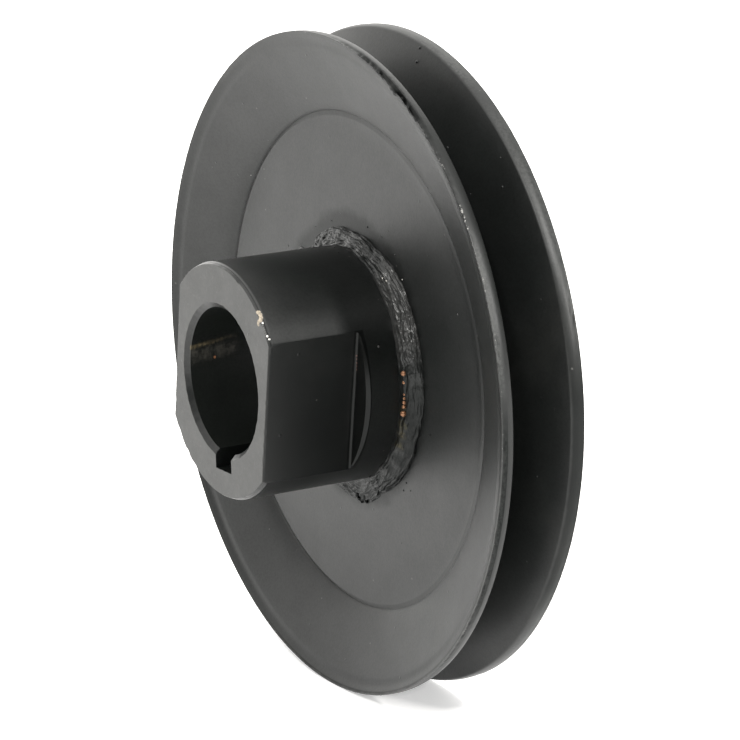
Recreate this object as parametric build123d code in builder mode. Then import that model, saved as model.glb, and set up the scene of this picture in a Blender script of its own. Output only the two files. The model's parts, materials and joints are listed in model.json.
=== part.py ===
from build123d import *

import math
import os

# A one-groove V-belt pulley: two pressed steel sheave halves welded to a turned hub.
#
# Frame: millimetres, +Z up. The bore runs along Y and the long nose of the hub points to -Y.
# The origin is on the bore axis, in the middle of the belt groove, where the webs of the two
# halves meet. The keyway is straight down, at -Z. "Front" is the side of the nose, -Y, and
# angles round the axis are counted from +X towards +Z, as they are seen from the front.

# --- hub: a turned sleeve with a plain bore, one keyway and two wrench flats ---------------
BORE_DIAMETER = 28.575          # 1-1/8 in shaft
HUB_DIAMETER = 46.04            # 1-13/16 in bar
HUB_LENGTH = 38.1               # 1-1/2 in overall
HUB_NOSE = 31.2                 # from the groove's middle to the front face of the hub
HUB_EDGE_RADIUS = 0.5           # outer edge of both end faces
BORE_CHAMFER = 0.9
KEYWAY_WIDTH = 6.35             # 1/4 in square key
KEYWAY_DEPTH = 3.3              # from the bore wall to the keyway floor
FLATS_ACROSS = 36.5             # 1-7/16 in spanner
FLATS_LENGTH = 19.05            # 3/4 in, from the front face of the hub
FLATS_LEAN = -9.7               # angle of the right-hand flat's normal, below +X
FLAT_ROOT_RADIUS = 0.4          # left by the milling cutter in the corner of each flat
SHOULDER_RADIUS = 0.4           # broken edge on the shoulder at the end of each flat

# --- sheave halves: a flat web and a conical flange, pressed from one sheet ----------------
SHEET = 2.4
RIM_DIAMETER = 130.0            # 5-1/8 in
RIM_WIDTH = 17.84               # over both rims
CREASE_RADIUS = 47.5            # where the planes of the web and the cone cross, on the outer face
CREASE_FILLET = 7.0             # inside radius of that bend
LIP_RADIUS = 1.9                # rounded corner where the belt enters the groove
RIM_EDGE_CHAMFER = 0.2

# --- welds ---------------------------------------------------------------------------------
WELD_LEG_ON_WEB = 4.2
WELD_LEG_ON_HUB = 2.4
WELD_CROWN = 0.5                # how far the bead bulges out of a straight fillet
FRONT_RUNS = {"front_weld_right_run": (130.0, 196.5), "front_weld_left_run": (-66.5, 163.5)}
REAR_RUNS = {"rear_weld_right_run": (75.0, 170.0), "rear_weld_left_run": (-95.0, 190.0)}

# --- spot welds between the two webs -------------------------------------------------------
SPOT_COUNT = 6
SPOT_CIRCLE_RADIUS = 38.0
SPOT_DIAMETER = 6.0
SPOT_DEPTH = 1.2                # of molten metal in each web
ELECTRODE_DIAMETER = 7.5
ELECTRODE_DENT = 0.25           # mark of the upper electrode on the rear face

# --- worked out from the sizes above -------------------------------------------------------
bore_radius = BORE_DIAMETER / 2
hub_radius = HUB_DIAMETER / 2
rim_radius = RIM_DIAMETER / 2
hub_front = -HUB_NOSE
hub_rear = HUB_LENGTH - HUB_NOSE
flange_depth = RIM_WIDTH / 2 - SHEET
flange_slope = math.atan2(flange_depth, rim_radius - CREASE_RADIUS)
sheet_on_slope = SHEET / math.cos(flange_slope)
groove_root_radius = CREASE_RADIUS + SHEET * math.tan(flange_slope / 2)
lip_depth = RIM_WIDTH / 2 - sheet_on_slope
front_view = Plane.XZ           # its x is +X, its y is +Z and it faces the front


def sheave_half(name, side):
    """One pressed half; side is -1 for the front half and +1 for the rear half."""
    with BuildPart() as half:
        with BuildSketch(Plane.XY) as profile:      # x = radius, y = place along the axis
            with BuildLine():
                Polyline(
                    (hub_radius, 0),
                    (hub_radius, side * SHEET),
                    (CREASE_RADIUS, side * SHEET),
                    (rim_radius, side * RIM_WIDTH / 2),
                    (rim_radius, side * lip_depth),
                    (groove_root_radius, 0),
                    close=True,
                )
            make_face()
            crease = profile.vertices().sort_by_distance((CREASE_RADIUS, side * SHEET, 0))[0]
            fillet(crease, CREASE_FILLET)
            groove_root = profile.vertices().sort_by_distance((groove_root_radius, 0, 0))[0]
            fillet(groove_root, CREASE_FILLET + SHEET)
            lip = profile.vertices().sort_by_distance((rim_radius, side * lip_depth, 0))[0]
            fillet(lip, LIP_RADIUS)
            edge = profile.vertices().sort_by_distance((rim_radius, side * RIM_WIDTH / 2, 0))[0]
            chamfer(edge, RIM_EDGE_CHAMFER)
        revolve(axis=Axis.Y)

        # each spot weld's nugget fills a round pocket in the inner face of the web
        with BuildSketch(front_view):
            with PolarLocations(SPOT_CIRCLE_RADIUS, SPOT_COUNT):
                Circle(SPOT_DIAMETER / 2)
        extrude(amount=-side * SPOT_DEPTH, mode=Mode.SUBTRACT)

        if side > 0:
            # shallow round dents that the upper electrode left on the rear face
            with BuildSketch(front_view.offset(-SHEET)):
                with PolarLocations(SPOT_CIRCLE_RADIUS, SPOT_COUNT):
                    Circle(ELECTRODE_DIAMETER / 2)
            extrude(amount=ELECTRODE_DENT, taper=30, mode=Mode.SUBTRACT)
    half.part.label = name
    return half.part


def weld_run(name, side, start_angle, sweep):
    """One run of fillet weld between the hub and the outer face of a web.

    The run starts at start_angle and goes clockwise, as seen from the front, over sweep
    degrees.
    """
    web_face = side * SHEET
    hub_toe = side * (SHEET + WELD_LEG_ON_HUB)
    with BuildPart() as run:
        with BuildSketch(Plane.XY.rotated((0, -start_angle, 0))):
            with BuildLine():
                Polyline(
                    (hub_radius + WELD_LEG_ON_WEB, web_face),
                    (hub_radius, web_face),
                    (hub_radius, hub_toe),
                )
                SagittaArc(
                    (hub_radius, hub_toe),
                    (hub_radius + WELD_LEG_ON_WEB, web_face),
                    side * WELD_CROWN,
                )
            make_face()
        revolve(axis=Axis.Y, revolution_arc=sweep)
    run.part.label = name
    return run.part


# --- hub -----------------------------------------------------------------------------------
# the rounded edge of the shoulders: a ring to cut away, kept only outside the two flats
shoulder = hub_front + FLATS_LENGTH
cut_width = hub_radius
with BuildPart() as shoulder_edge_break:
    with BuildSketch(Plane.XY):
        with BuildLine():
            Polyline(
                (hub_radius - SHOULDER_RADIUS, shoulder),
                (hub_radius + SHOULDER_RADIUS, shoulder),
                (hub_radius + SHOULDER_RADIUS, shoulder + SHOULDER_RADIUS),
                (hub_radius, shoulder + SHOULDER_RADIUS),
            )
            TangentArc(
                (hub_radius, shoulder + SHOULDER_RADIUS),
                (hub_radius - SHOULDER_RADIUS, shoulder),
                tangent=(0, -1),
            )
        make_face()
    revolve(axis=Axis.Y)
    with BuildSketch(front_view.offset(-shoulder)):
        with PolarLocations(FLATS_ACROSS / 2 + cut_width / 2, 2, start_angle=FLATS_LEAN):
            Rectangle(cut_width, HUB_DIAMETER)
    extrude(amount=-2 * SHOULDER_RADIUS, mode=Mode.INTERSECT)

with BuildPart() as hub:
    with BuildSketch(Plane.XY) as hub_profile:      # x = radius, y = place along the axis
        with BuildLine():
            Polyline(
                (bore_radius + BORE_CHAMFER, hub_front),
                (hub_radius, hub_front),
                (hub_radius, hub_rear),
                (bore_radius + BORE_CHAMFER, hub_rear),
                (bore_radius, hub_rear - BORE_CHAMFER),
                (bore_radius, hub_front + BORE_CHAMFER),
                close=True,
            )
        make_face()
        fillet(hub_profile.vertices().group_by(Axis.X)[-1], HUB_EDGE_RADIUS)
    revolve(axis=Axis.Y)

    # two parallel wrench flats, milled in from the front face
    with BuildSketch(front_view.offset(HUB_NOSE)):
        with PolarLocations(FLATS_ACROSS / 2 + cut_width / 2, 2, start_angle=FLATS_LEAN):
            Rectangle(cut_width, HUB_DIAMETER)
    extrude(amount=-FLATS_LENGTH, mode=Mode.SUBTRACT)
    flat_roots = hub.edges().filter_by(GeomType.LINE).filter_by(front_view.offset(-shoulder))
    fillet(flat_roots, FLAT_ROOT_RADIUS)
    add(shoulder_edge_break.part, mode=Mode.SUBTRACT)

    # keyway through the whole length of the bore
    keyway_floor = bore_radius + KEYWAY_DEPTH
    with BuildSketch(front_view.offset(HUB_NOSE)):
        with Locations((0, -keyway_floor / 2)):
            Rectangle(KEYWAY_WIDTH, keyway_floor)
    extrude(amount=-HUB_LENGTH, mode=Mode.SUBTRACT)

hub.part.label = "hub"

# --- the two halves of the sheave, back to back ------------------------------------------------
front_sheave_half = sheave_half("front_sheave_half", -1)
rear_sheave_half = sheave_half("rear_sheave_half", 1)

# --- spot weld nuggets, half in each web -------------------------------------------------------
with BuildPart() as spot_weld_nuggets:
    with BuildSketch(front_view):
        with PolarLocations(SPOT_CIRCLE_RADIUS, SPOT_COUNT):
            Circle(SPOT_DIAMETER / 2)
    extrude(amount=SPOT_DEPTH, both=True)

spot_weld_nuggets.part.label = "spot_weld_nuggets"

# --- fillet welds, two runs on each side ---------------------------------------------------------
weld_runs = [weld_run(name, -1, *arc) for name, arc in FRONT_RUNS.items()]
weld_runs += [weld_run(name, 1, *arc) for name, arc in REAR_RUNS.items()]

# --- write one STEP per piece ----------------------------------------------------------------------
os.makedirs("parts", exist_ok=True)
for piece in (hub.part, front_sheave_half, rear_sheave_half, spot_weld_nuggets.part, *weld_runs):
    export_step(piece, f"parts/{piece.label}.step")
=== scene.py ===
"""V-belt pulley: the visual model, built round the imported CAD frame.

Lengths are in metres, in the frame of the CAD model: the bore runs along Y, the nose of the
hub points to -Y (the front), the keyway is straight down and the origin is in the middle of
the belt groove. Angles round the bore count from +X towards +Z, as seen from the front.
"""
import json
import math
import random

import bmesh
import bpy
from mathutils import Matrix, Vector, noise


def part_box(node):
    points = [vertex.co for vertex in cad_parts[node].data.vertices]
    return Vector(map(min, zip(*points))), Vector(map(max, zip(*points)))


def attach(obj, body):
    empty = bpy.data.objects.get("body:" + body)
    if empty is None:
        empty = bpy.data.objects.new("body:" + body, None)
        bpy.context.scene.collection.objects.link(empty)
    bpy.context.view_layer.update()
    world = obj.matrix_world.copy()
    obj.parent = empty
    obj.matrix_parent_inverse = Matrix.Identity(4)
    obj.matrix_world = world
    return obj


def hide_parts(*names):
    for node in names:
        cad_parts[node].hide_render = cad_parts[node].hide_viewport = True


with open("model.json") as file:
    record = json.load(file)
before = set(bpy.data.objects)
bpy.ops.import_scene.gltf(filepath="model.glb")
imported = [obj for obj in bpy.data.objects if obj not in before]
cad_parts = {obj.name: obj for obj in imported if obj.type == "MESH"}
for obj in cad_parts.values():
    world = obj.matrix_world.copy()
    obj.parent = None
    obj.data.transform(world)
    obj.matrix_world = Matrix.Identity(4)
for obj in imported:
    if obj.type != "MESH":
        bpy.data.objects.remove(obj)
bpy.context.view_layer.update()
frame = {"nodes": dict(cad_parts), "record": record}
MM = 0.001
rng = random.Random(7)

# --- sizes, read from the frame ------------------------
mounts = {mount["name"]: mount for mount in frame["record"]["mounts"]}
HUB_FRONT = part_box("hub")[0][1]
HUB_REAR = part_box("hub")[1][1]
HUB_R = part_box("hub")[1][0]
BORE_R = mounts["bore"]["dims"]["r_mm"] * MM
KEY_FLOOR = -mounts["keyway"]["pos_m"][2]
FLAT_POS = mounts["right_wrench_flat"]["pos_m"]
FLAT_AXIS = mounts["right_wrench_flat"]["axis"]
FLAT_DISTANCE = FLAT_POS[0] * FLAT_AXIS[0] + FLAT_POS[2] * FLAT_AXIS[2]
FLAT_ANGLE = math.atan2(FLAT_AXIS[2], FLAT_AXIS[0])
RIM_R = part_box("front_sheave_half")[1][0]
RIM_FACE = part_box("rear_sheave_half")[1][1]
WELD_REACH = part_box("front_weld_right_run")[1][0] - HUB_R       # leg on the web
WELD_TOP = -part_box("front_weld_right_run")[0][1]                # toe on the hub

# --- sizes that the frame doesn't state ----------------
KEY_HALF_WIDTH = 3.175 * MM
FLAT_END = HUB_FRONT + 19.05 * MM
SHEET = 2.4 * MM
BEND_R = 47.5 * MM               # where the planes of web and cone would cross
BEND_FILLET = 7.0 * MM
BORE_CHAMFER = 0.95 * MM
FLAT_ROOT = 0.50 * MM            # root radius of the wrench flats
HALF_CHORD_ANGLE = math.acos(FLAT_DISTANCE / HUB_R)
TUCK = 0.2 * MM                  # how far the webs run into the hub


# --- mesh helpers --------------------------------------
def new_piece(name, verts, faces, sharp=math.radians(40), merge=0.0):
    """A smooth-shaded piece that rides on the pulley; edges over the sharp angle stay crisp.

    merge joins points that are closer than that, and turns all faces outwards.
    """
    mesh = bpy.data.meshes.new(name)
    mesh.from_pydata(verts, [], faces)
    mesh.validate()
    if merge:
        work = bmesh.new()
        work.from_mesh(mesh)
        bmesh.ops.remove_doubles(work, verts=work.verts, dist=merge)
        bmesh.ops.recalc_face_normals(work, faces=work.faces)
        work.to_mesh(mesh)
        work.free()
    mesh.update()
    mesh.shade_smooth()
    mesh.set_sharp_from_angle(angle=sharp)
    piece = bpy.data.objects.new(name, mesh)
    bpy.context.scene.collection.objects.link(piece)
    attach(piece, "root")
    return piece


def arc(centre, radius, start, end, steps):
    """Points of an arc in a section; centre is (radius from the bore axis, depth)."""
    turns = [math.radians(start + (end - start) * i / steps) for i in range(steps + 1)]
    return [(centre[0] + radius * math.cos(a), centre[1] + radius * math.sin(a)) for a in turns]


def straight(a, b, steps):
    """Points from a up to, but not including, b."""
    return [(a[0] + (b[0] - a[0]) * i / steps, a[1] + (b[1] - a[1]) * i / steps)
            for i in range(steps)]


def closed_rings(rings):
    """Faces between rings of equal length, each ring joined to the next and the last to the first."""
    count = len(rings[0])
    faces = []
    for i in range(len(rings)):
        a = i * count
        b = (i + 1) % len(rings) * count
        for j in range(count):
            k = (j + 1) % count
            faces.append((a + j, a + k, b + k, b + j))
    return [v for ring in rings for v in ring], faces


def ripple(angle, radius, frequency, seed):
    """Smooth noise from -1 to 1 that closes on itself round the axis."""
    return noise.noise(Vector((math.cos(angle) * radius * frequency,
                               math.sin(angle) * radius * frequency, seed)))


# --- sheave halves -------------------------------------
SLOPE = math.atan2(RIM_FACE - SHEET, RIM_R - BEND_R)
WEB_END = 46.0 * MM              # here the web starts to lift towards the crease
WEB_LIFT = 0.12 * MM
CREASE_BROW = 48.15 * MM         # the web sinks from here...
CREASE_R = 49.1 * MM             # ...into the coined line at the foot of the cone
CREASE_END = 56.0 * MM           # past here the bite of the die no longer matters
COINED = (0.05 * MM, 0.13 * MM)  # extra depth of that line, where the die bit least and most
COINED_FADE = 0.16 * MM
OVERBEND = (0.44 * MM, 0.76 * MM)                # just outside the crease the cone starts too steep...
OVERBEND_FADE = 1.6 * MM         # ...and relaxes over this distance
DIE_LEAN = math.radians(190)     # the die sat askew and bit deepest on this side
TROUGH = (61.6 * MM, 64.6 * MM, 0.17 * MM)       # where the edge rolled over when it was sheared
SHEET_WAVE = 0.010 * MM
LIP_TURN = 22.0                  # degrees of the lip that its large radius takes
LIP_RADII = (3.4 * MM, 0.7 * MM)                 # towards the rim's band, and towards the flank
TORN_EDGE = (61.5, 14.0)         # angle and spread, in degrees, of the torn stretch of the rim
# the sheared band round the rim: (inset, drop, in mm, how ragged it is, how far a tear opens it)
RIM_BAND = ((0.12, 0.02, 0.35, 0.5), (0.03, 0.08, 0.6, 0.85), (0.0, 0.18, 1.0, 1.0),
            (0.0, 0.36, 1.0, 1.0), (0.0, 0.56, 0.7, 0.8), (0.0, 0.72, 0.4, 0.35),
            (0.0, 0.88, 0.2, 0.0), (0.0, 1.05, 0.1, 0.0))
SPOTS = 6                        # spot welds, whose upper electrode dented the rear face
SPOT_CIRCLE = 38.0 * MM
DENT_R = 3.75 * MM
DENT_DEPTH = 0.25 * MM
DENT_EDGE = 0.6 * MM


def outer_depth(r, bite=0):
    """Depth of the outer face of a half, from the plane where the halves meet.

    bite is 0 where the die pressed the crease least and 1 where it pressed most.
    """
    def web(r):
        return SHEET + WEB_LIFT * (max(0.0, r - WEB_END) / (CREASE_BROW - WEB_END)) ** 2

    def cone(r):
        beyond = r - CREASE_R
        depth = SHEET + (r - BEND_R) * math.tan(SLOPE) - OVERBEND[bite] * math.exp(-beyond / OVERBEND_FADE)
        return depth - COINED[bite] * math.exp(-(beyond / COINED_FADE) ** 2)

    if r <= CREASE_BROW:
        depth = web(r)
    elif r >= CREASE_R:
        depth = cone(r)
    else:
        share = ((r - CREASE_BROW) / (CREASE_R - CREASE_BROW)) ** 1.25
        depth = web(CREASE_BROW) * (1 - share) + cone(CREASE_R) * share
    low, high, sag = TROUGH
    if low < r < high:
        depth -= sag * math.sin(math.pi * (r - low) / (high - low)) ** 2
    return depth


def sheave_section(dented):
    """Closed section of a half as (radius, depth, tear, split).

    tear is how ragged the sheared edge is there, and split how far the torn stretch opens.
    A dented half has more points where the electrode dents lie.
    """
    def plain(points):
        return [(r, d, 0.0, 0.0) for r, d in points]

    # web, crease and cone, from the hub outwards; the points crowd where the surface turns
    radii = [25.0, 30.0]
    radii += [33.9 + 0.5 * i for i in range(17)] if dented else [36.0, 42.0]
    radii += [45.0, 46.5, 47.4, 48.0, 48.15, 48.25, 48.35, 48.6, 48.85, 49.0, 49.1, 49.18, 49.26, 49.35]
    radii += [49.5, 49.7, 50.0, 50.5, 51.1, 51.9, 53.0, 54.6, 57.5, 60.5]
    radii += [61.6 + 0.3 * i for i in range(11)]
    section = plain([(HUB_R - TUCK, SHEET)] + [(r * MM, outer_depth(r * MM)) for r in radii])
    edge = outer_depth(RIM_R)
    section += [(RIM_R - inset * MM, edge - drop * MM, tear, split)
                for inset, drop, tear, split in RIM_BAND]
    # lip between the rim's band and the flank of the groove: a large radius, then a small one
    large, small = LIP_RADII
    turn = math.radians(LIP_TURN)
    flank_turn = math.pi / 2 - SLOPE
    small_r = RIM_R - large + (large - small) * math.cos(turn)
    end_r = small_r + small * math.cos(flank_turn)
    end_depth = edge - SHEET / math.cos(SLOPE) + (end_r - RIM_R) * math.tan(SLOPE)
    small_depth = end_depth + small * math.sin(flank_turn)
    large_depth = small_depth + (large - small) * math.sin(turn)
    section += plain(arc((RIM_R - large, large_depth), large, 0, -LIP_TURN, 7))
    section += plain(arc((small_r, small_depth), small, -LIP_TURN, -math.degrees(flank_turn), 4)[1:])
    # flank and root of the groove
    root_fillet = BEND_FILLET + SHEET
    root_r = BEND_R + SHEET * math.tan(SLOPE / 2)
    tangent = root_fillet * math.tan(SLOPE / 2)
    flank_end = (root_r + tangent * math.cos(SLOPE), tangent * math.sin(SLOPE))
    section += plain(straight(section[-1][:2], flank_end, 5)[1:])
    turns = [SLOPE * (1 - i / 4) for i in range(5)]
    section += plain([(root_r - tangent + root_fillet * math.sin(turn), root_fillet * (1 - math.cos(turn)))
                      for turn in turns])
    return section + plain([(HUB_R - TUCK, 0.0)])


def dent(x, z):
    """How deep the dent of the nearest spot weld is at a place on the web."""
    spot = round(math.atan2(z, x) / (2 * math.pi / SPOTS)) * 2 * math.pi / SPOTS
    away = math.hypot(x - SPOT_CIRCLE * math.cos(spot), z - SPOT_CIRCLE * math.sin(spot))
    inside = min(1.0, max(0.0, (DENT_R - away) / DENT_EDGE))
    return DENT_DEPTH * inside * inside * (3 - 2 * inside)


def sheared(angle, radius, depth, tear, split, torn, seed):
    """How far the sheared edge is bitten in, along the radius, and sways, along the axis."""
    def wave(r, frequency, shift):
        return ripple(angle, r, frequency, seed + shift)

    away = (math.degrees(angle) - TORN_EDGE[0] + 180) % 360 - 180
    ragged = torn * math.exp(-(away / TORN_EDGE[1]) ** 2)
    rough = tear * (0.16 + 0.5 * max(0.0, wave(radius, 42, 0.0) + 0.1) + ragged)
    bites = 0.42 * abs(wave(radius, 420, 3.1 + depth * 900))
    grit = 0.10 * (1 + wave(radius, 1300, 5.7 + depth * 2000))
    gape = 0.85 + 0.7 * wave(RIM_R, 330, 1.9) + 1.3 * wave(RIM_R, 980, 2.7)
    gape = 0.72 * min(1.35, max(0.15, gape))
    sway = 0.5 * wave(RIM_R, 420, 6.6) + 0.35 * wave(RIM_R, 1100, 7.4)
    inwards = rough * (bites + grit) + split * ragged * gape
    along = rough * 0.16 * wave(radius, 600, 8.2) - split * ragged * sway
    return inwards * MM, along * MM


def build_sheave_half(name, side, seed, torn, segments):
    """side is -1 for the front half and +1 for the rear half; torn scales the ragged part."""
    rings = []
    section = sheave_section(dented=side > 0)
    for index, (r, depth, tear, split) in enumerate(section):
        outer_face = index < len(section) / 2
        creased = outer_face and CREASE_BROW <= r < CREASE_END
        deepest = outer_depth(r, 1) - depth if creased else 0.0
        dented = side > 0 and outer_face and abs(r - SPOT_CIRCLE) < DENT_R + DENT_EDGE
        ring = []
        for j in range(segments):
            angle = 2 * math.pi * j / segments
            inwards, along = sheared(angle, r, depth, tear, split, torn, seed) if tear else (0.0, 0.0)
            if creased:
                along += deepest * min(1.0, max(0.0, 0.5 + 0.9 * math.cos(angle - DIE_LEAN)))
            if dented:
                along -= dent(r * math.cos(angle), r * math.sin(angle))
            along += SHEET_WAVE * ripple(angle, r, 40, seed + index * 0.02)
            ring.append(((r - inwards) * math.cos(angle), side * (depth + along),
                         (r - inwards) * math.sin(angle)))
        rings.append(ring if side < 0 else ring[::-1])
    verts, faces = closed_rings(rings)
    piece = new_piece(name, verts, faces, sharp=math.radians(32))
    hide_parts(name.replace("_skin", ""))
    return piece


# --- hub -----------------------------------------------
# steep turned band behind the front face, with a tool line in it; on the flats it is nearly crisp:
# (distance from the face, inset, inset of the flats, depth of the nicks), in mm
FRONT_EDGE = ((0.0, 0.42, 0.20, 0.40), (0.10, 0.34, 0.03, 0.25), (0.42, 0.20, 0.0, 0.0),
              (0.50, 0.25, 0.0, 0.0), (0.58, 0.16, 0.0, 0.0), (1.00, 0.0, 0.0, 0.0))
REAR_CHAMFER = 0.50 * MM
SHOULDER_DRESSED = (0.38 * MM, 0.78 * MM)        # how far down and how far back, at its middle
WORN_CHAMFER = ((0.30 * MM, 0.07 * MM), (0.0, 0.12 * MM))        # of the bore: (from the face, wear)


def hub_angles(count=720):
    """Evenly spread angles, with the corners of the flats and of the keyway among them."""
    corners = []
    for centre in (FLAT_ANGLE, FLAT_ANGLE + math.pi):
        for inset in (0.0, 0.20, 0.42):
            half = math.acos(FLAT_DISTANCE / (HUB_R - inset * MM))
            corners += [centre + half, centre - half]
    down = -math.pi / 2
    halves = [math.asin(KEY_HALF_WIDTH / radius) for radius in (BORE_R, BORE_R + BORE_CHAMFER)]
    for half in (*halves, math.atan2(KEY_HALF_WIDTH, KEY_FLOOR)):
        corners += [down + half, down - half]
    corners = [c % (2 * math.pi) for c in corners]
    close = math.radians(0.2)
    spread = [2 * math.pi * i / count for i in range(count)]
    return sorted(corners + [a for a in spread if all(abs(a - c) > close for c in corners)])


def flat_reach(angle):
    """Distance from the bore axis to the nearer wrench flat along a ray, or None past its reach."""
    cosine = abs(math.cos(angle - FLAT_ANGLE))
    return FLAT_DISTANCE / cosine if cosine > 0.3 else None      # past 72 degrees no flat is near


def keyed_radius(angle, radius):
    """Radius of the bore's edge along a ray, out to the keyway's walls and floor where it has them."""
    delta = angle + math.pi / 2
    delta = abs((delta + math.pi) % (2 * math.pi) - math.pi)
    if delta > 0.5:                              # well past the keyway's corners
        return radius
    return max(radius, min(KEY_FLOOR / math.cos(delta), KEY_HALF_WIDTH / max(math.sin(delta), 1e-6)))


def shoulder_facet(angle):
    """How wide the dressed edge of the shoulder is at this angle, from 0 to 1."""
    delta = (angle - FLAT_ANGLE + math.pi / 2) % math.pi - math.pi / 2
    return max(0.0, 1 - (delta / HALF_CHORD_ANGLE) ** 2) ** 0.75


def build_hub():
    angles = hub_angles()
    rings = []

    def ring(y, reach):
        rings.append([(reach(a) * math.cos(a), y, reach(a) * math.sin(a)) for a in angles])

    def outside(radius, off_flat=0.0, nicks=0.0):
        def reach(angle):
            flat = flat_reach(angle)
            nick = nicks * max(0.0, ripple(angle, HUB_R, 620, 3.3) - 0.1)
            if flat is None or radius - nick < flat + off_flat:
                return radius - nick
            return flat + off_flat - 1.5 * nick
        return reach

    def bore(radius, nicks=0.0):
        return lambda angle: keyed_radius(angle, radius) + nicks * (0.5 + ripple(angle, radius, 760, 6.1))

    def between(inner, outer, share):
        return lambda angle: inner(angle) * (1 - share) + outer(angle) * share

    front_edge = [outside(HUB_R - inset * MM, -flat_inset * MM, nicks * MM)
                  for _, inset, flat_inset, nicks in FRONT_EDGE]
    for (back, *_), reach in zip(FRONT_EDGE, front_edge):
        ring(HUB_FRONT + back * MM, reach)
    start = HUB_FRONT + FRONT_EDGE[-1][0] * MM
    for i in range(1, 13):
        ring(start + (FLAT_END - FLAT_ROOT - start) * i / 12, outside(HUB_R))
    # root radius where the flats run out into their shoulders
    for i in range(1, 9):
        turn = math.radians(90 * i / 8)
        ring(FLAT_END - FLAT_ROOT * (1 - math.sin(turn)),
             outside(HUB_R, FLAT_ROOT * (1 - math.cos(turn))))

    # dressed outer edge of the shoulder: a crescent that tapers to the flat's two corners
    drop, depth = SHOULDER_DRESSED

    def shoulder_edge(angle):
        lowered = HUB_R - 0.04 * MM - drop * shoulder_facet(angle)
        flat = flat_reach(angle)
        return HUB_R if flat is None or flat + FLAT_ROOT >= lowered else lowered

    ring(FLAT_END, shoulder_edge)
    rings.append([(HUB_R * math.cos(a), FLAT_END + 0.05 * MM + depth * shoulder_facet(a),
                   HUB_R * math.sin(a)) for a in angles])
    # turned part, as far as the rear face
    start = FLAT_END + 1.4 * MM
    for i in range(1, 11):
        ring(start + (HUB_REAR - 0.7 * MM - start) * i / 10, lambda angle: HUB_R)
    ring(HUB_REAR - REAR_CHAMFER, lambda angle: HUB_R)
    for share in (0.0, 0.3, 0.7):
        ring(HUB_REAR, between(lambda angle: HUB_R - REAR_CHAMFER, bore(BORE_R + BORE_CHAMFER), share))
    # bore, from the rear face to the front face
    ring(HUB_REAR, bore(BORE_R + BORE_CHAMFER))
    for i in range(15):
        ring(HUB_REAR - BORE_CHAMFER + (HUB_FRONT - HUB_REAR + 2 * BORE_CHAMFER) * i / 14, bore(BORE_R))
    for back, wear in WORN_CHAMFER:
        ring(HUB_FRONT + back, bore(BORE_R + BORE_CHAMFER - back, wear))
    for share in (0.25, 0.5, 0.75):
        ring(HUB_FRONT, between(bore(BORE_R + BORE_CHAMFER), front_edge[0], share))
    verts, faces = closed_rings(rings)
    piece = new_piece("hub_skin", verts, faces, sharp=math.radians(13), merge=0.5e-6)
    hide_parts("hub")
    return piece


# --- fillet welds --------------------------------------
ROPES = 7                        # ridges that run along a bead
BEAD_POINTS = 72                 # across a bead
BEAD_STEP = 0.13 * MM            # along it
ROUND_END = 2.4 * MM             # how fast a bead rounds off...
CUT_END = 0.7 * MM               # ...and where the next run starts on top of it
CURL_LENGTH = 22.0               # mm of a curled start
CALM = (-22.0, 30.0, 0.50)       # angle, spread and share of a stretch with flatter ridges
PIT = (0.45 * MM, 1.5)           # radius of a blow hole, and its depth in mm


def bead_relief(across, along, seed):
    """Height of the ridged surface of a bead, in mm; across runs from 0 to 1, along in mm."""
    height = 0.0
    # ropes that wander, swell and die out
    for rope in range(ROPES):
        wander = noise.noise(Vector((along * 0.16, rope * 7.3, seed)))
        centre = (rope + 0.5 + 1.1 * wander) / ROPES
        swell = 0.62 + 1.0 * noise.noise(Vector((along * 0.42, rope * 3.1, seed + 4)))
        height += 0.26 * max(0.0, swell) * math.exp(-((across - centre) * ROPES / 0.38) ** 2)
    # fine streaks that slant across the bead, and grit
    slant = along * 0.55 + across * 2.0
    weave = 1.2 * noise.noise(Vector((along * 0.4, seed, 0.0)))
    streak = noise.noise(Vector((across * 15 + weave, slant, seed + 7)))
    grit = noise.noise(Vector((across * 26, along * 3.0, seed + 11)))
    return height + 0.20 * streak + 0.07 * grit


def bead_size(angle, table):
    """Width and height of a bead at an angle, from (angle, width, height) rows in falling angles."""
    for (a, wide_a, high_a), (b, wide_b, high_b) in zip(table, table[1:]):
        if angle >= b:
            share = min(1.0, max(0.0, (a - angle) / (a - b)))
            return wide_a + (wide_b - wide_a) * share, high_a + (high_b - high_a) * share
    return table[-1][1:]


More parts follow.
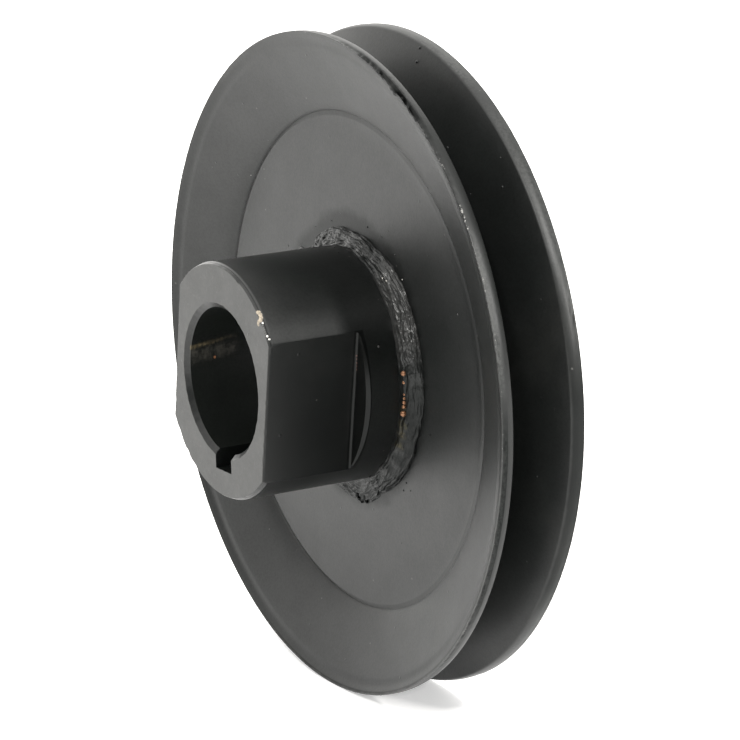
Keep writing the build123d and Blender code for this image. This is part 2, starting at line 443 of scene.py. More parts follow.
def build_weld_run(name, *, side, start, sweep, leg_web, leg_hub, fullness, relief, lumps, seed,
                   cut_end=False, curled=0.0, pits=(), sizes=((0.0, 1.0, 1.0),)):
    """A hand-laid bead: ridges along its length, lumps, and ends that round off.

    start and sweep are in degrees, clockwise as seen from the front. curled roughens the start
    of the bead; pits are (angle, radius) of blow holes, in degrees and metres.
    """
    length = math.radians(sweep) * (HUB_R + leg_web / 2)
    steps = int(length / BEAD_STEP)
    rings = []
    for i in range(steps + 1):
        share = i / steps
        angle = math.radians(start - sweep * share)
        run = share * length / MM
        blunt = CUT_END if cut_end and share > 0.5 else ROUND_END
        rise = min(1.0, min(share, 1 - share) * length / blunt)
        taper = math.sqrt(0.03 + 0.97 * rise * (2 - rise))
        wide, high = bead_size(math.degrees(angle), sizes)
        wide *= 1 + 0.12 * ripple(angle, HUB_R, 210, seed) + 0.06 * ripple(angle, HUB_R, 640, seed + 2)
        high *= 1 + 0.14 * ripple(angle, HUB_R, 240, seed + 9)
        curl = curled * max(0.0, 1 - run / CURL_LENGTH)
        calm = CALM[2] * math.exp(-((math.degrees(angle) - CALM[0]) / CALM[1]) ** 4) if side < 0 else 0.0
        a = leg_web * wide * taper
        b = leg_hub * high * taper
        chord = math.hypot(a, b)
        ring = [(HUB_R - 0.5 * MM, SHEET - 0.5 * MM)]
        for k in range(BEAD_POINTS + 1):
            # the points are spread evenly along the chord, from the toe on the web to that on the hub
            turn = math.atan2(b * k, a * (BEAD_POINTS - k))
            c, s = math.cos(turn), math.sin(turn)
            reach = (abs(c / a) ** fullness + abs(s / b) ** fullness) ** (-1 / fullness)
            out, up = reach * c, reach * s
            lump = noise.noise(Vector((out, up, 0.0)) * 380 + Vector((0, 0, run * 0.4 + seed)))
            knot = abs(noise.noise(Vector((out, up, 0.0)) * 800 + Vector((seed, 0, run * 0.9))))
            push = relief * (1 - calm) * bead_relief(k / BEAD_POINTS, run, seed) + 0.26 * lumps * lump
            push += curl * (0.75 * knot - 0.20 + 0.35 * lump)
            for pit_angle, pit_radius in pits:
                gap = math.hypot((angle - math.radians(pit_angle)) * pit_radius, HUB_R + out - pit_radius)
                push -= PIT[1] * math.exp(-(gap / PIT[0]) ** 2)
            fade = max(0.0, math.sin(math.pi * k / BEAD_POINTS)) ** 0.40
            push *= fade * MM * min(1.0, taper + 0.15)
            # the relief stands square to the chord
            ring.append((HUB_R + out + push * b / chord, SHEET + up + push * a / chord))
        # both toes dip under the surface that they lie on
        ring[1] = (ring[1][0], SHEET - 0.12 * MM)
        ring[-1] = (HUB_R - 0.12 * MM, ring[-1][1])
        rings.append([(r * math.cos(angle), side * d, r * math.sin(angle)) for r, d in ring])
    count = len(rings[0])
    verts, faces = closed_rings(rings)
    faces = faces[:steps * count]                # the two ends are capped, not joined to each other
    faces.append(tuple(range(count))[::-1])
    faces.append(tuple(steps * count + j for j in range(count)))
    piece = new_piece(name + "_bead", verts, faces, sharp=math.radians(75), merge=1e-8)
    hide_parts(name)
    return piece


# --- droplets: spatter, metal beads and paint nibs -----
def ball(centre, radius, normal, flatness, rings=7, segments=12):
    """Verts and faces of one droplet, flattened along the normal of what it sits on."""
    centre = Vector(centre)
    up = Vector(normal).normalized()
    side = up.orthogonal().normalized()
    other = up.cross(side)
    verts = [centre + up * radius * flatness]
    for i in range(1, rings):
        turn = math.pi * i / rings
        for j in range(segments):
            a = 2 * math.pi * j / segments
            outwards = (side * math.cos(a) + other * math.sin(a)) * radius * math.sin(turn)
            verts.append(centre + outwards + up * radius * flatness * math.cos(turn))
    verts.append(centre - up * radius * flatness)
    faces = []
    for j in range(segments):
        k = (j + 1) % segments
        faces.append((0, 1 + j, 1 + k))
        for i in range(rings - 2):
            a = 1 + i * segments
            faces.append((a + j, a + segments + j, a + segments + k, a + k))
        a = 1 + (rings - 2) * segments
        faces.append((len(verts) - 1, a + k, a + j))
    return verts, faces


def build_droplets(name, droplets):
    """One piece of many separate droplets; each is (centre, radius, normal, flatness)."""
    verts, faces = [], []
    for droplet in droplets:
        v, f = ball(*droplet)
        faces += [tuple(len(verts) + i for i in face) for face in f]
        verts += [tuple(point) for point in v]
    return new_piece(name, verts, faces)


def on_ring(angle, radius, depth, side=-1):
    """A point round the bore; side is -1 in front of the plane where the halves meet, and 1 behind it."""
    return (radius * math.cos(angle), side * depth, radius * math.sin(angle))


def droplet_at(degrees_up, radius, depth, size, *, lean, flatness, side=-1):
    """A droplet at a listed place; lean tips its normal towards the rear, or forwards if negative."""
    turn = math.radians(degrees_up)
    return (on_ring(turn, radius, depth, side), size, (math.cos(turn), lean, math.sin(turn)), flatness)


SPATTER_SIZE = (0.08, 0.26)      # mm
SPATTER_ON_WEB = 0.7             # the share that lands on the web; the rest is on the hub
SPATTER_SPREAD = (3.2, 1.6)      # how widely it scatters on the web and on the hub, in mm
SPATTER_END = 44 * MM            # none lies further out on the web


def spatter(side, count):
    """Weld spatter on the web and the hub, close to the bead."""
    droplets = []
    for _ in range(count):
        angle = rng.uniform(0, 2 * math.pi)
        size = rng.uniform(*SPATTER_SIZE) * MM
        if rng.random() < SPATTER_ON_WEB:
            radius = HUB_R + WELD_REACH + rng.expovariate(1 / SPATTER_SPREAD[0]) * MM + 0.4 * MM
            centre = on_ring(angle, min(radius, SPATTER_END), SHEET + size * 0.1, side)
            normal = (0, side, 0)
        else:
            depth = WELD_TOP + rng.expovariate(1 / SPATTER_SPREAD[1]) * MM + 0.5 * MM
            if side > 0:
                depth = min(depth, HUB_REAR - 1 * MM)
            centre = on_ring(angle, HUB_R + size * 0.1, min(depth, WELD_TOP + 6 * MM), side)
            normal = (math.cos(angle), 0, math.sin(angle))
        droplets.append((centre, size, normal, rng.uniform(0.45, 0.9)))
    return droplets


# --- marks on the paint --------------------------------
# stretches of the rims: (from, to, in degrees, how heavily)
RIM_CHIPS = ((31.5, 37.5, 0.68), (22.0, 32.0, 0.25), (-40.3, -37.8, 0.9), (43.5, 46.5, 0.6),
             (-164.0, -156.0, 0.4))
RIM_RUBS = ((3.0, 34.0, 0.75), (-40.0, 6.0, 0.35), (112.0, 128.0, 0.6))
REAR_RUBS = ((58.0, 95.0, 0.75), (20.0, 60.0, 0.30))
RIM_HIGHLIGHT_AND_DARK_LINE = ((-130.0, 10.0, 1.0), (44.0, 58.0, 0.6))       # a painted highlight on the corner, and a dark line beside it
RIM_WIDE_DARK_LINE = ((-43.0, 8.0, 1.0), (40.0, 60.0, 0.5))       # a wider, duller one
RIM_DULL = ((-70.0, 14.0, 0.7), (28.0, 58.0, 1.0))       # the whole band is duller
REAR_DULL = ((-44.0, 16.0, 1.0),)
REAR_NICKS = ((32.7, 6.4), (8.0, 6.7))           # (degrees, depth in mm)
# places on the hub: (degrees, radius, distance from the front face, in mm)
WALL = BORE_R / MM
GRIME = ((171, WALL, 1.8), (170, WALL, 4.5), (169, WALL, 7.5), (168, WALL, 10.0))
RUST_STREAK = [(163.5 - 0.56 * i, WALL, 0.9 + 0.95 * i) for i in range(11)]
RUST_SPOT = ((174.6, WALL, 6.3),)
PRIMER_CHIPS = ((45.2, 22.9, 0.25), (43.6, 22.95, 0.35), (42.0, 22.9, 0.30), (41.0, 22.6, 0.1),
                (41.2, 22.0, 0.0), (40.6, 21.6, 0.0))
BARE_CHIPS = ((39.3, 22.8, 0.3), (32.4, 22.75, 0.35), (30.6, 22.9, 0.5))
EDGE_RUB = [(38.0 - 1.1 * i, 22.75, 0.12) for i in range(6)]
OVERSPRAY = [(19.0 - 1.9 * i, 20.7 - 0.2 * i, 19.0) for i in range(6)]
# heat tint on the weld: (degrees, radius, depth, in mm)
HEAT_TINT = ((-19, 24.4, 4.5), (-24, 24.4, 4.4), (-30, 24.6, 4.2), (-12, 23.9, 4.6))

# colours, as linear red, green and blue
PAINT_TINT = (0.82, 1.0, 0.94)
HAZE = (0.022, 0.0215, 0.020)
PALE_DUST = (0.34, 0.33, 0.31)
WHITE_DUST = (0.42, 0.41, 0.39)
RUBBED_PAINT = (0.052, 0.054, 0.052)
CHIPPED_PAINT = (0.23, 0.225, 0.215)
# painted highlight, laid along the front rim's corner
PAINTED_CORNER_HIGHLIGHT = (0.085, 0.087, 0.085)
NICKED_PAINT = (0.12, 0.12, 0.115)
HUB_FACE = ((0.019, 0.0195, 0.0185), (0.030, 0.0305, 0.029))
HUB_FACE_FLECK = (0.060, 0.060, 0.056)
BORE_FILM = (0.0080, 0.0095, 0.0084)
DULL_GRIME = (0.050, 0.046, 0.036)
RUST = (0.120, 0.094, 0.046)
ORANGE_RUST = (0.26, 0.115, 0.055)
PRIMER = ((0.22, 0.19, 0.15), (0.42, 0.36, 0.28))
BARE_EDGE = (0.80, 0.79, 0.75)
RUBBED_EDGE = (0.25, 0.25, 0.24)
PINK = (0.11, 0.055, 0.045)
OCHRE = (0.048, 0.041, 0.019)
# painted sheen, laid as a lighter grey on the middle of the weld
PAINTED_SHEEN_GREY = (0.034, 0.034, 0.033)
STEEL = ((0.34, 0.33, 0.31), (0.5, 0.48, 0.45))
COPPER = ((0.13, 0.055, 0.028), (0.40, 0.21, 0.115))
WARM_WHITE = (1.0, 0.99, 0.962)


# --- materials -----------------------------------------
class Graph:
    """Short calls for the few node kinds that the materials and the sky are made of."""

    def __init__(self, tree):
        self.nodes = tree.nodes
        self.links = tree.links
        self.coordinates = self.nodes.new("ShaderNodeTexCoord").outputs
        self.position = self.coordinates["Object"]

    def feed(self, socket, value):
        if isinstance(value, bpy.types.NodeSocket):
            self.links.new(value, socket)
        else:
            socket.default_value = value

    def math(self, operation, a, b=0.0, c=0.0):
        node = self.nodes.new("ShaderNodeMath")
        node.operation = operation
        for socket, value in zip(node.inputs, (a, b, c)):
            self.feed(socket, value)
        return node.outputs[0]

    def vector(self, operation, a, b):
        node = self.nodes.new("ShaderNodeVectorMath")
        node.operation = operation
        self.links.new(a, node.inputs[0])
        node.inputs[1].default_value = b
        return node.outputs

    def times(self, product, *others):
        for value in others:
            product = self.math("MULTIPLY", product, value)
        return product

    def most(self, largest, *others):
        for value in others:
            largest = self.math("MAXIMUM", largest, value)
        return largest

    def away(self, value, centre):
        return self.math("ABSOLUTE", self.math("SUBTRACT", value, centre))

    def ramp(self, value, low, high):
        """0 at low and 1 at high, smooth between; low may be above high."""
        node = self.nodes.new("ShaderNodeMapRange")
        node.interpolation_type = "SMOOTHSTEP"
        self.feed(node.inputs["Value"], value)
        node.inputs["From Min"].default_value = low
        node.inputs["From Max"].default_value = high
        return node.outputs["Result"]

    def mix(self, factor, a, b):
        node = self.nodes.new("ShaderNodeMix")
        node.data_type = "RGBA"
        self.feed(node.inputs["Factor"], factor)
        for socket, value in ((node.inputs["A"], a), (node.inputs["B"], b)):
            self.feed(socket, (*value, 1.0) if isinstance(value, tuple) else value)
        return node.outputs["Result"]

    def noise(self, scale, detail=3.0, roughness=0.55):
        node = self.nodes.new("ShaderNodeTexNoise")
        node.inputs["Scale"].default_value = scale
        node.inputs["Detail"].default_value = detail
        node.inputs["Roughness"].default_value = roughness
        self.links.new(self.position, node.inputs["Vector"])
        return node.outputs["Fac"]

    def patches(self, scale, detail, roughness, low, high):
        """Noise with its contrast raised: 0 below low and 1 above high."""
        return self.ramp(self.noise(scale, detail, roughness), low, high)

    def sway(self, scale, detail, roughness, swing):
        """Noise that swings round 0, to make an edge wander."""
        return self.math("MULTIPLY_ADD", self.noise(scale, detail, roughness), swing, -swing / 2)

    def spots(self, scale, size, share, seed=0.0):
        """1 inside scattered round specks of size cells across, on a share of the cells."""
        node = self.nodes.new("ShaderNodeTexVoronoi")
        node.inputs["Scale"].default_value = scale
        moved = self.vector("ADD", self.position, (seed, seed * 0.7, seed * 1.3))["Vector"]
        self.links.new(moved, node.inputs["Vector"])
        red = self.nodes.new("ShaderNodeSeparateColor")
        self.links.new(node.outputs["Color"], red.inputs[0])
        chosen = self.math("LESS_THAN", red.outputs[0], share)
        return self.times(self.ramp(node.outputs["Distance"], size, size * 0.5), chosen)

    def bump(self, height, strength, distance, normal=None):
        node = self.nodes.new("ShaderNodeBump")
        node.inputs["Strength"].default_value = strength
        node.inputs["Distance"].default_value = distance
        self.links.new(height, node.inputs["Height"])
        if normal is not None:
            self.links.new(normal, node.inputs["Normal"])
        return node.outputs["Normal"]

    def near(self, point, reach, soft, wobble):
        """1 within reach of a point, fading over soft of it, with an edge that wobbles."""
        distance = self.vector("DISTANCE", self.position, point)["Value"]
        distance = self.math("ADD", distance, self.sway(1400.0, 2.0, 0.55, wobble))
        return self.ramp(distance, reach, reach * (1 - soft))


def material(name):
    """A new material and its shader."""
    made = bpy.data.materials.new(name)
    made.use_nodes = True
    return made, made.node_tree.nodes["Principled BSDF"]


class Paint(Graph):
    """Satin black paint, slightly mottled, with orange peel, fine grain, nibs and specks of dust.

    Its marks are laid over it one by one, and finish gives the material.
    """

    def __init__(self, name, *, tone, roughness, peel, dust):
        self.made, self.shader = material(name)
        super().__init__(self.made.node_tree)
        axes = self.nodes.new("ShaderNodeSeparateXYZ")
        self.links.new(self.position, axes.inputs[0])
        self.x, self.y, self.z = axes.outputs
        dark, light = (tuple(tone * share * c for c in PAINT_TINT) for share in (0.8, 1.3))
        self.colour = self.mix(self.patches(55.0, 4.0, 0.6, 0.3, 0.72), dark, light)
        self.lay(self.patches(28.0, 6.0, 0.62, 0.52, 0.78), HAZE, 0.35 * dust)
        self.lay(self.spots(330.0, 0.085, 0.13 * dust), PALE_DUST, 0.16)
        self.lay(self.spots(210.0, 0.035, 0.06 * dust, seed=0.71), WHITE_DUST, 0.6)
        grain = self.noise(2600.0, 2.0, 0.6)
        self.rough = self.math("MULTIPLY_ADD", self.noise(90.0, 5.0, 0.65), 0.12, roughness - 0.06)
        self.roughen(grain, 0.08)
        # fine flecks and soft clouds that reflect a little less
        flecks = self.times(self.patches(1900.0, 3.0, 0.7, 0.38, 0.66), 0.11)
        clouds = self.times(self.patches(130.0, 4.0, 0.65, 0.35, 0.70), 0.07)
        self.metal = self.math("ADD", flecks, clouds)
        nibs = self.spots(390.0, 0.13, 0.12 * dust, seed=0.37)
        normal = self.bump(self.noise(850.0, 2.0, 0.5), 0.20 * peel, 0.06 * MM)
        normal = self.bump(grain, 0.45 * peel, 0.03 * MM, normal)
        self.normal = self.bump(nibs, 0.5, 0.08 * MM, normal)

    def angle(self):
        """Angle round the bore, in radians from +X towards +Z."""
        return self.math("ARCTAN2", self.z, self.x)

    def radius(self):
        """Distance from the bore axis."""
        squares = [self.math("POWER", axis, 2.0) for axis in (self.x, self.z)]
        return self.math("SQRT", self.math("ADD", *squares))

    def lay(self, mask, colour, share=1.0):
        """Lays a share of a colour over the paint where the mask is 1."""
        self.colour = self.mix(self.times(mask, share), self.colour, colour)

    def roughen(self, mask, amount):
        self.rough = self.math("MULTIPLY_ADD", mask, amount, self.rough)

    def dull(self, mask, share):
        """Takes a share of the reflection away where the mask is 1.

        A black paint that counts as partly metallic reflects that much less.
        """
        self.metal = self.most(self.metal, self.times(mask, share))

    def finish(self):
        for socket, value in (("Base Color", self.colour), ("Roughness", self.rough),
                              ("Normal", self.normal), ("Metallic", self.metal)):
            self.links.new(value, self.shader.inputs[socket])
        self.shader.inputs["IOR"].default_value = 1.5
        return self.made


def sheave_paint():
    """Satin black, worn along stretches of the rims, with a painted highlight on the front rim's corner,
    painted shade in its torn stretch, and darker on the web beside the weld.
    """
    coat = Paint("satin_black_sheave", tone=0.0055, roughness=0.38, peel=1.0, dust=1.0)
    angle, radius = coat.angle(), coat.radius()

    def stretches(table):
        """1 along the stretches of a table, fading out towards their ends."""
        found = []
        for start, end, heavy in table:
            half = math.radians((end - start) / 2)
            away = coat.away(angle, math.radians((start + end) / 2))
            found.append(coat.times(coat.ramp(away, half, half * 0.55), heavy))
        return coat.most(*found)

    def corner(inset, drop, reach):
        """1 at the front rim's corner, fading over reach."""
        across = coat.ramp(coat.away(radius, RIM_R - inset), reach, reach * 0.3)
        return coat.times(across, coat.ramp(coat.away(coat.y, drop - RIM_FACE), reach, reach * 0.3))

    def rim_beyond(none, full):
        return coat.ramp(radius, RIM_R - none, RIM_R - full)

    # rubbed thin: a dull grey, mottled band
    mottle = coat.patches(1500.0, 5.0, 0.75, 0.38, 0.60)
    front = coat.times(mottle, stretches(RIM_RUBS), corner(0.35 * MM, 0.50 * MM, 0.90 * MM))
    rear = coat.ramp(coat.away(coat.y, RIM_FACE - 1.3 * MM), 1.5 * MM, 0.9 * MM)
    rear = coat.times(rear, rim_beyond(1.6 * MM, 0.7 * MM), mottle, stretches(REAR_RUBS))
    rubbed = coat.most(front, rear)
    coat.lay(rubbed, RUBBED_PAINT)
    coat.roughen(rubbed, 0.15)
    # chipped through to the steel
    line = corner(0.12 * MM, 0.16 * MM, 0.40 * MM)
    chips = coat.math("ADD", coat.noise(2300.0, 3.0, 0.6), coat.times(stretches(RIM_CHIPS), line, 0.17))
    chips = coat.times(coat.ramp(chips, 0.64, 0.72), line)
    coat.lay(chips, CHIPPED_PAINT)
    coat.dull(chips, 0.35)
    # a painted highlight along the corner, and darker, duller lines beside it
    coat.lay(coat.times(stretches(RIM_HIGHLIGHT_AND_DARK_LINE), corner(0.06 * MM, 0.05 * MM, 0.17 * MM)), PAINTED_CORNER_HIGHLIGHT, 0.7)
    wandering = coat.math("ADD", coat.y, coat.sway(420.0, 3.0, 0.6, 0.36 * MM))
    band = rim_beyond(0.9 * MM, 0.6 * MM)
    for table, level, reach, share in ((RIM_HIGHLIGHT_AND_DARK_LINE, 0.42 * MM - RIM_FACE, 0.34 * MM, 0.70),
                                       (RIM_WIDE_DARK_LINE, 0.78 * MM - RIM_FACE, 0.66 * MM, 0.80),
                                       (RIM_DULL, 1.30 * MM - RIM_FACE, 2.0 * MM, 0.36),
                                       (REAR_DULL, RIM_FACE - 1.30 * MM, 1.6 * MM, 0.60)):
        beside = coat.ramp(coat.away(wandering, level), reach, reach * 0.6)
        coat.dull(coat.times(beside, band, stretches(table)), share)
    for degrees_up, depth in REAR_NICKS:
        place = on_ring(math.radians(degrees_up), RIM_R, depth * MM, side=1)
        coat.lay(coat.near(place, 0.32 * MM, 0.9, wobble=0.5 * MM), NICKED_PAINT)
    # the torn stretch: painted shade in the ragged groove under the corner
    middle, spread = (math.radians(value) for value in TORN_EDGE)
    torn = coat.ramp(coat.away(angle, middle), 1.15 * spread, 0.75 * spread)
    ragged = coat.math("ADD", coat.y, coat.sway(900.0, 5.0, 0.8, 1.5 * MM))
    groove = coat.ramp(coat.away(ragged, 0.55 * MM - RIM_FACE), 0.68 * MM, 0.52 * MM)
    coat.dull(coat.times(torn, groove, rim_beyond(1.3 * MM, 1.0 * MM)), 0.58)
    # the web is darker beside the bead, over a band that is wider at the top
    upper = coat.ramp(coat.away(angle, math.radians(72)), math.radians(50), math.radians(20))
    halo = coat.math("ADD", radius, coat.sway(260.0, 4.0, 0.7, 3.4 * MM))
    halo = coat.math("SUBTRACT", halo, coat.times(upper, 1.4 * MM))
    coat.dull(coat.ramp(halo, HUB_R + 7.2 * MM, HUB_R + 4.0 * MM), 0.58)
    return coat.finish()


def hub_paint():
    """Thinner, glossier paint on the hub, with chips on its front edge and rust in its bore."""
    coat = Paint("satin_black_hub", tone=0.0042, roughness=0.28, peel=0.30, dust=0.8)

    def cluster(places, reach, wobble, soft):
        """1 near any of the places; reach is in mm, and wobble and soft are shares of it."""
        found = []
        for degrees_up, radius, back in places:
            x, _, z = on_ring(math.radians(degrees_up), radius * MM, 0.0)
            found.append(coat.near((x, HUB_FRONT + back * MM, z), reach * MM, soft, wobble * reach * MM))
        return coat.most(*found)

    # the front face is paler and flecked
    face = coat.ramp(coat.y, HUB_FRONT + 0.09 * MM, HUB_FRONT + 0.05 * MM)
    face_tone = coat.mix(coat.patches(240.0, 5.0, 0.7, 0.35, 0.7), *HUB_FACE)
    flecks = coat.times(coat.patches(1100.0, 4.0, 0.75, 0.54, 0.72), 0.5)
    coat.lay(face, coat.mix(flecks, face_tone, HUB_FACE_FLECK))
    coat.roughen(face, 0.10)
    # bore: a thin film of dust all round, a rust streak, a dull patch below it and one orange spot
    inside = coat.ramp(coat.radius(), BORE_R + 0.25 * MM, BORE_R + 0.1 * MM)
    coat.lay(inside, BORE_FILM, 0.8)
    grime = coat.times(cluster(GRIME, 2.3, 1.0, 0.8), coat.patches(620.0, 5.0, 0.75, 0.30, 0.75), inside)
    coat.lay(grime, DULL_GRIME, 0.8)
    streak = coat.times(cluster(RUST_STREAK, 0.75, 0.9, 0.85), inside,
                        coat.patches(900.0, 4.0, 0.7, 0.2, 0.8))
    coat.lay(coat.times(streak, coat.ramp(coat.y, HUB_FRONT + 13.0 * MM, HUB_FRONT + 1.0 * MM)), RUST)
    coat.lay(cluster(RUST_SPOT, 0.33, 0.5, 0.3), ORANGE_RUST)
    coat.roughen(coat.most(grime, streak), 0.35)
    # chips on the front edge: primer showing, then bright metal at the corner of the flat
    primer = cluster(PRIMER_CHIPS, 0.50, 1.0, 0.3)
    coat.lay(primer, coat.mix(coat.patches(1700.0, 3.0, 0.7, 0.35, 0.65), *PRIMER))
    coat.roughen(primer, 0.4)
    bare = cluster(BARE_CHIPS, 0.24, 1.0, 0.3)
    coat.lay(bare, BARE_EDGE)
    coat.dull(bare, 1.0)
    # rubbed edge between them and faint pink overspray at the root of the flat
    coat.lay(cluster(EDGE_RUB, 0.22, 1.2, 0.5), RUBBED_EDGE, 0.30)
    coat.lay(cluster(OVERSPRAY, 0.26, 1.8, 0.5), PINK, 0.5)
    # painted shade: the flats are darkened, and their shoulders, in the hub's own shadow, still more
    across = coat.math("ADD", coat.times(coat.x, math.cos(FLAT_ANGLE)),
                       coat.times(coat.z, math.sin(FLAT_ANGLE)))
    beyond = coat.ramp(coat.math("ABSOLUTE", across), FLAT_DISTANCE - 0.2 * MM, FLAT_DISTANCE - 0.1 * MM)
    shoulder = coat.ramp(coat.away(coat.y, FLAT_END + 0.1 * MM), 1.1 * MM, 0.8 * MM)
    coat.dull(coat.times(shoulder, beyond), 0.62)
    coat.dull(coat.times(coat.ramp(coat.y, FLAT_END - 0.5 * MM, FLAT_END - 0.7 * MM), beyond), 0.26)
    return coat.finish()


def weld_paint():
    """Paint over the welds: glossy on the upper half, darker and duller below, with a painted sheen on the
    middle of the upper stretch.
    """
    coat = Paint("gloss_black_weld", tone=0.006, roughness=0.26, peel=0.3, dust=0.0)
    angle = coat.angle()

    def turning(start, end):
        """0 at one angle and 1 at the other, in degrees."""
        return coat.ramp(angle, math.radians(start), math.radians(end))

    tinted = [coat.near(on_ring(math.radians(degrees_up), radius * MM, depth * MM), 1.5 * MM, 0.7,
                        wobble=1.2 * MM) for degrees_up, radius, depth in HEAT_TINT]
    coat.lay(coat.times(coat.most(*tinted), coat.patches(900.0, 4.0, 0.7, 0.35, 0.65)), OCHRE, 0.8)
    # darker and duller below, patches of scale at the top, and a painted sheen of lighter grey between
    # them
    past_left = turning(-176, -135)
    darker_below = coat.times(turning(14, -6), past_left)
    film = coat.math("MULTIPLY_ADD", coat.patches(420.0, 4.0, 0.7, 0.25, 0.7), 0.30, 0.70)
    coat.dull(coat.times(film, darker_below), 0.70)
    coat.roughen(darker_below, 0.08)
    coat.dull(coat.times(coat.patches(520.0, 4.0, 0.7, 0.45, 0.62), turning(52, 70)), 0.45)
    coat.lay(coat.times(turning(62, 46), turning(4, 20), coat.patches(1100.0, 4.0, 0.75, 0.25, 0.65)),
             PAINTED_SHEEN_GREY)
    # darker still on the run that ends at the bottom
    coat.dull(coat.times(turning(-70, -75), past_left), 0.74)
    return coat.finish()


def bare_metal(name, tones, *, scales, smoothest, metallic):
    """Uneven metal; scales are those of the noise in its colour and in its roughness."""
    made, shader = material(name)
    graph = Graph(made.node_tree)
    graph.links.new(graph.mix(graph.noise(scales[0]), *tones), shader.inputs["Base Color"])
    graph.links.new(graph.math("MULTIPLY_ADD", graph.noise(scales[1]), 0.3, smoothest),
                    shader.inputs["Roughness"])
    shader.inputs["Metallic"].default_value = metallic
    return made


def dress(piece, made):
    piece.data.materials.clear()
    piece.data.materials.append(made)


# --- build the object ----------------------------------
SHEAVE_PAINT = sheave_paint()
HUB_PAINT = hub_paint()
WELD_PAINT = weld_paint()
BARE_STEEL = bare_metal("bare_steel", STEEL, scales=(600.0, 900.0), smoothest=0.3, metallic=1.0)
HEAT_TINTED = bare_metal("heat_tinted_bead", COPPER, scales=(1500.0, 2000.0), smoothest=0.2, metallic=0.6)

dress(build_sheave_half("front_sheave_half_skin", -1, seed=1.7, torn=0.9, segments=1280), SHEAVE_PAINT)
dress(build_sheave_half("rear_sheave_half_skin", 1, seed=8.3, torn=0.0, segments=1000), SHEAVE_PAINT)
dress(build_hub(), HUB_PAINT)

WELD_RUNS = (
    dict(name="front_weld_right_run", side=-1, start=130, sweep=196.5, leg_web=4.1 * MM,
         leg_hub=2.5 * MM, fullness=1.6, relief=1.0, lumps=0.9, seed=2.2, cut_end=True, curled=0.8,
         sizes=((130.0, 0.50, 0.40), (119.0, 0.55, 0.42), (111.0, 0.80, 0.66), (85.0, 0.78, 0.66),
                (65.0, 0.92, 0.78), (50.0, 1.06, 0.84), (32.0, 1.12, 0.86), (20.0, 1.13, 1.0),
                (-30.0, 1.07, 1.0), (-67.0, 0.95, 0.95))),
    dict(name="front_weld_left_run", side=-1, start=-65, sweep=165, leg_web=4.7 * MM,
         leg_hub=1.1 * MM, fullness=1.25, relief=0.75, lumps=0.8, seed=5.1,
         pits=((-86.1, 26.9 * MM), (-80.3, 27.2 * MM))),
    dict(name="rear_weld_right_run", side=1, start=75, sweep=170, leg_web=4.2 * MM,
         leg_hub=2.4 * MM, fullness=1.5, relief=0.9, lumps=0.7, seed=11.4),
    dict(name="rear_weld_left_run", side=1, start=-93, sweep=191, leg_web=4.1 * MM,
         leg_hub=2.3 * MM, fullness=1.5, relief=0.9, lumps=0.7, seed=14.9),
)
for run in WELD_RUNS:
    dress(build_weld_run(**run), WELD_PAINT)

dress(build_droplets("front_weld_spatter", spatter(-1, 34)), WELD_PAINT)
dress(build_droplets("rear_weld_spatter", spatter(1, 26)), WELD_PAINT)

# heat-tinted beads in the valley beside the hub: (degrees, size in mm)
COPPER_BEADS = ((5.6, 0.56), (1.5, 0.434), (-1.5, 0.21), (-4.0, 0.266), (-5.8, 0.308), (-7.7, 0.392),
                (-9.7, 0.406), (-13.1, 0.616))
beads = [droplet_at(up, HUB_R + 1.4 * MM, WELD_TOP + 0.02 * MM, size * MM, lean=-0.8, flatness=0.9)
         for up, size in COPPER_BEADS]
dress(build_droplets("front_weld_copper_beads", beads), HEAT_TINTED)

# bright beads on the upper stretch: (degrees, radius, depth, size, in mm)
BRIGHT_BEADS = ((49.5, 25.5, 4.35, 0.20), (47.2, 25.9, 4.1, 0.24), (43.2, 28.6, 2.5, 0.16))
beads = [droplet_at(up, radius * MM, depth * MM, size * MM, lean=-1, flatness=0.8)
         for up, radius, depth, size in BRIGHT_BEADS]
dress(build_droplets("front_weld_bright_beads", beads), BARE_STEEL)

# dark blobs that stand in for the shade in two blow holes at the foot of the run that ends at the bottom:
# painted shade; (degrees, radius, size, in mm)
PIT_SHADE_BLOBS = ((-86.1, 27.4, 0.55), (-80.3, 27.8, 0.42), (-84.2, 28.0, 0.30))
pit_shade_blobs = [droplet_at(up, radius * MM, SHEET + 0.2 * MM, size * MM, lean=-1.5, flatness=0.7)
         for up, radius, size in PIT_SHADE_BLOBS]
dress(build_droplets("front_weld_pit_shade_blobs", pit_shade_blobs), WELD_PAINT)

# paint nibs on the rear flank of the groove: (degrees, radius, size, in mm)
NIBS = ((76.2, 64.0, 0.30), (75.4, 61.6, 0.34), (56.3, 54.5, 0.24), (45.7, 62.6, 0.22), (41.2, 60.4, 0.26),
        (44.6, 53.8, 0.15), (20.0, 61.0, 0.14), (-12.0, 58.0, 0.18), (-33.0, 62.0, 0.2))
FLANK_FOOT = BEND_R + SHEET * math.tan(SLOPE / 2)
nibs = [droplet_at(up, radius * MM, (radius * MM - FLANK_FOOT) * math.tan(SLOPE), size * MM,
                   lean=-1 / math.tan(SLOPE), flatness=0.7, side=1) for up, radius, size in NIBS]
dress(build_droplets("groove_paint_nibs", nibs), SHEAVE_PAINT)
dress(frame["nodes"]["spot_weld_nuggets"], BARE_STEEL)

# --- floor, light and camera ---------------------------
FLOOR_SIZE = 30.0
FLOOR_WHITE = 0.80
FLOOR_GLOW = 0.43                # keeps the shadows faint
# broad soft boxes: (azimuth, elevation, strength, falloff)
SOFT_BOXES = ((0, 90, 2.0, 3), (225, 12, 2.0, 9), (270, 12, 2.7, 9), (315, 12, 1.3, 9), (0, 50, 1.2, 9),
              (120, 50, 1.3, 9), (180, 50, 0.3, 9), (240, 50, 0.9, 9))
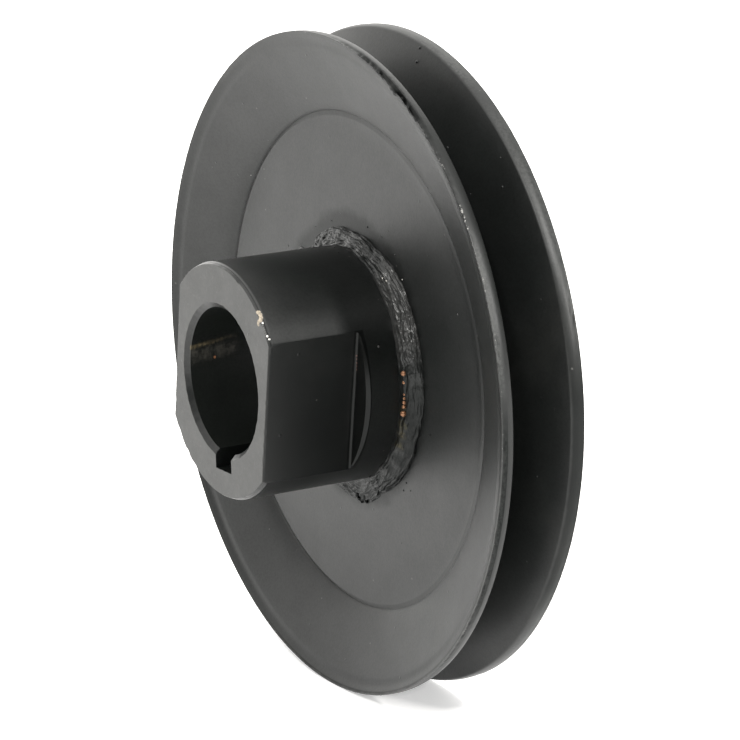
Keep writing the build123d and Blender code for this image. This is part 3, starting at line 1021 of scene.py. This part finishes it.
# smaller lamps, which leave the crisp streaks: (azimuth, elevation, strength)
LAMPS = ((102, 44, 1.9), (122, 20, 1.3), (40, 45, 1.1))
LAMP_SPREAD = math.radians(5)
VIEW = (60.19, 12.99)            # azimuth and elevation
VIEW_ROLL = math.radians(-1.67)
VIEW_DISTANCE = 0.62364
AIM = Vector((0.0012, 0.00114, -0.00206))
LENS = 155.0                     # focal length, for a sensor of SENSOR mm
SENSOR = 36.0


def towards(azimuth, elevation):
    """Unit vector to a light or the camera; azimuth counts from the front towards +X, in degrees."""
    a, e = math.radians(azimuth), math.radians(elevation)
    return Vector((math.sin(a) * math.cos(e), -math.cos(a) * math.cos(e), math.sin(e)))


scene = bpy.context.scene
floor_mesh = bpy.data.meshes.new("floor")
floor_corners = [(x * FLOOR_SIZE, y * FLOOR_SIZE, -RIM_R) for x, y in ((-1, -1), (1, -1), (1, 1), (-1, 1))]
floor_mesh.from_pydata(floor_corners, [], [(0, 1, 2, 3)])
floor = bpy.data.objects.new("floor", floor_mesh)
scene.collection.objects.link(floor)
floor_paint, floor_shader = material("floor_white")
floor_shader.inputs["Base Color"].default_value = (FLOOR_WHITE, FLOOR_WHITE, FLOOR_WHITE, 1.0)
floor_shader.inputs["Roughness"].default_value = 0.9
floor_shader.inputs["Emission Color"].default_value = (1.0, 1.0, 1.0, 1.0)
floor_shader.inputs["Emission Strength"].default_value = FLOOR_GLOW
floor_mesh.materials.append(floor_paint)

world = bpy.data.worlds.new("studio")
scene.world = world
world.use_nodes = True
sky = Graph(world.node_tree)
glow = 0.0
for azimuth, elevation, strength, falloff in SOFT_BOXES:
    facing = sky.vector("DOT_PRODUCT", sky.coordinates["Generated"], towards(azimuth, elevation))["Value"]
    lobe = sky.times(sky.math("POWER", sky.math("MAXIMUM", facing, 0.0), falloff), strength)
    glow = sky.math("ADD", glow, lobe)
background = sky.nodes["Background"]
background.inputs["Color"].default_value = (*WARM_WHITE, 1.0)
sky.links.new(glow, background.inputs["Strength"])
for azimuth, elevation, strength in LAMPS:
    lamp_data = bpy.data.lights.new("lamp", "SUN")
    lamp_data.energy = strength
    lamp_data.angle = LAMP_SPREAD
    lamp_data.color = WARM_WHITE
    lamp = bpy.data.objects.new("lamp", lamp_data)
    lamp.rotation_euler = towards(azimuth, elevation).to_track_quat("Z", "Y").to_euler()
    scene.collection.objects.link(lamp)
scene.view_settings.view_transform = "Standard"

camera_data = bpy.data.cameras.new("camera")
camera_data.lens = LENS
camera_data.sensor_width = SENSOR
camera_data.clip_start = 10 * MM
camera = bpy.data.objects.new("camera", camera_data)
toward = towards(*VIEW)
camera.matrix_world = Matrix.Translation(AIM + toward * VIEW_DISTANCE) @ (
    toward.to_track_quat("Z", "Y").to_matrix().to_4x4() @ Matrix.Rotation(VIEW_ROLL, 4, "Z"))
scene.collection.objects.link(camera)
scene.camera = camera
